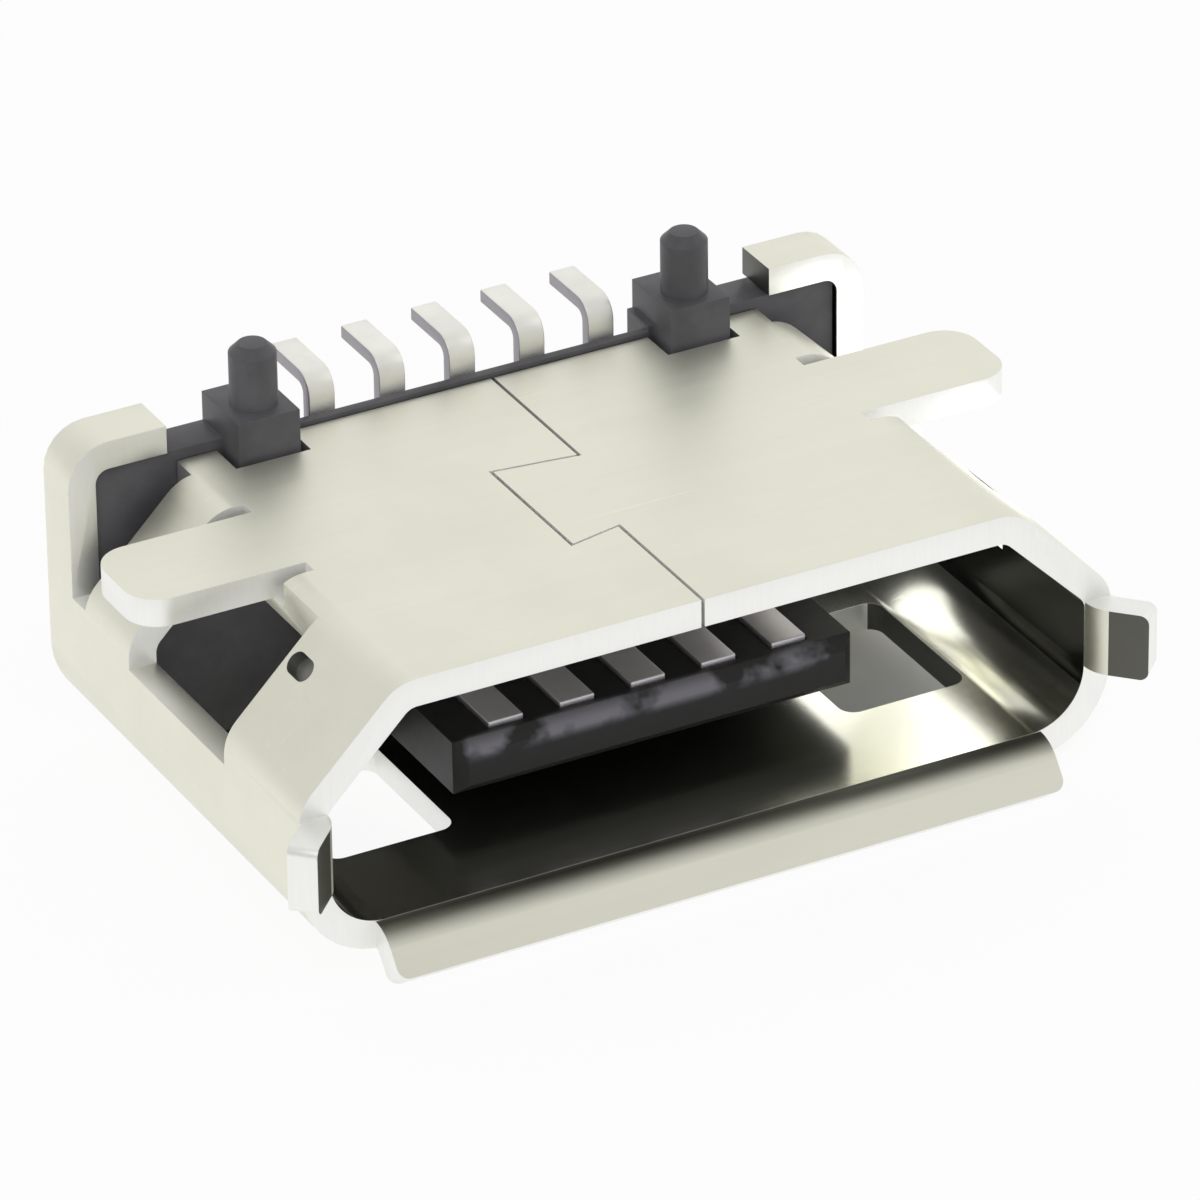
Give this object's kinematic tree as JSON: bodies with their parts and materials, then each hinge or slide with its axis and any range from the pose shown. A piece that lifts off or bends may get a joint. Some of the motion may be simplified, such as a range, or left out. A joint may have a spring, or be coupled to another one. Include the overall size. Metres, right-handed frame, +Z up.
{
  "type": "charging socket",
  "caption": "Board-mount charging socket: a folded sheet-steel shell with flared mouth, solder legs and rear ears round a black moulded housing with tongue, contacts and locating posts",
  "frame": {"origin": "middle of the socket's footprint, at the height of its lowest point, the edge of the mouth's lower lip", "axes": "+Z up, towards the circuit board's face; the mouth faces -Y and +X is to the right as seen from the mouth. The socket is stored board side up, as the picture shows it, lying on its wide side; on a board it is turned over"},
  "size_m": [0.008, 0.0054, 0.0035],
  "materials": {
    "plated_steel": "satin nickel plating over folded sheet steel",
    "black_plastic": "black moulded plastic, slightly glossy",
    "contact_metal": "pale plated copper alloy, satin"
  },
  "bodies": {
    "root": {"shell": "plated_steel", "housing": "black_plastic", "contact_1": "contact_metal", "contact_2": "contact_metal", "contact_3": "contact_metal", "contact_4": "contact_metal", "contact_5": "contact_metal"}
  },
  "joints": []
}
